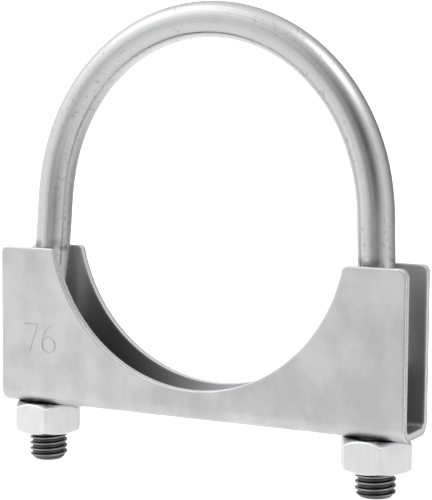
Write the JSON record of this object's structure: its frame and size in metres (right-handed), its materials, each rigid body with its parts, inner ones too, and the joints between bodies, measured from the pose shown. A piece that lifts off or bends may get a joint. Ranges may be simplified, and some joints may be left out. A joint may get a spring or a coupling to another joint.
{
  "type": "exhaust pipe u-bolt clamp",
  "caption": "U-bolt pipe clamp: a bent round rod with threaded legs, a channel saddle with a curved seat, and hex nuts that draw the saddle up to close on a round pipe.",
  "frame": {"origin": "under the middle of the saddle, level with the lower leg tip; the underside of the saddle's web is 15.3 mm above it at rest", "axes": "+X from the left leg to the right leg, +Y along the clamped pipe, +Z from the saddle towards the crown of the bolt"},
  "size_m": [0.1112, 0.0162, 0.117],
  "materials": {
    "bolt_steel": "smooth bright drawn rod with a thin zinc coat, light scuffs and drawing lines along its length, darker in the threads",
    "saddle_steel": "satin zinc-plated pressed sheet with soft mottling and bright sheared edges",
    "nut_zinc": "pale satin zinc plating with faint vertical forming marks on the flats"
  },
  "bodies": {
    "bolt": {"u_bolt": "bolt_steel"},
    "saddle": {"saddle": "saddle_steel"},
    "left_nut": {"hex_nut_left": "nut_zinc"},
    "right_nut": {"hex_nut_right": "nut_zinc"}
  },
  "joints": [
    {"name": "saddle_slide", "type": "slide", "parent": "bolt", "child": "saddle", "axis": [0, 0, 1], "range_m": [-0.006, 0.0091]},
    {"name": "left_nut_turn", "type": "hinge", "parent": "saddle", "child": "left_nut", "pos_m": [-0.0462, 0, 0.01125], "axis": [0, 0, 1], "range_deg": [-1440, 2184]},
    {"name": "right_nut_turn", "type": "hinge", "parent": "saddle", "child": "right_nut", "pos_m": [0.04575, 0, 0.01125], "axis": [0, 0, 1], "range_deg": [-1440, 2184]}
  ],
  "couplings": [
    {"joint": "left_nut_turn", "follows": "saddle_slide", "rad_per_m": 4188.8},
    {"joint": "right_nut_turn", "follows": "saddle_slide", "rad_per_m": 4188.8}
  ]
}
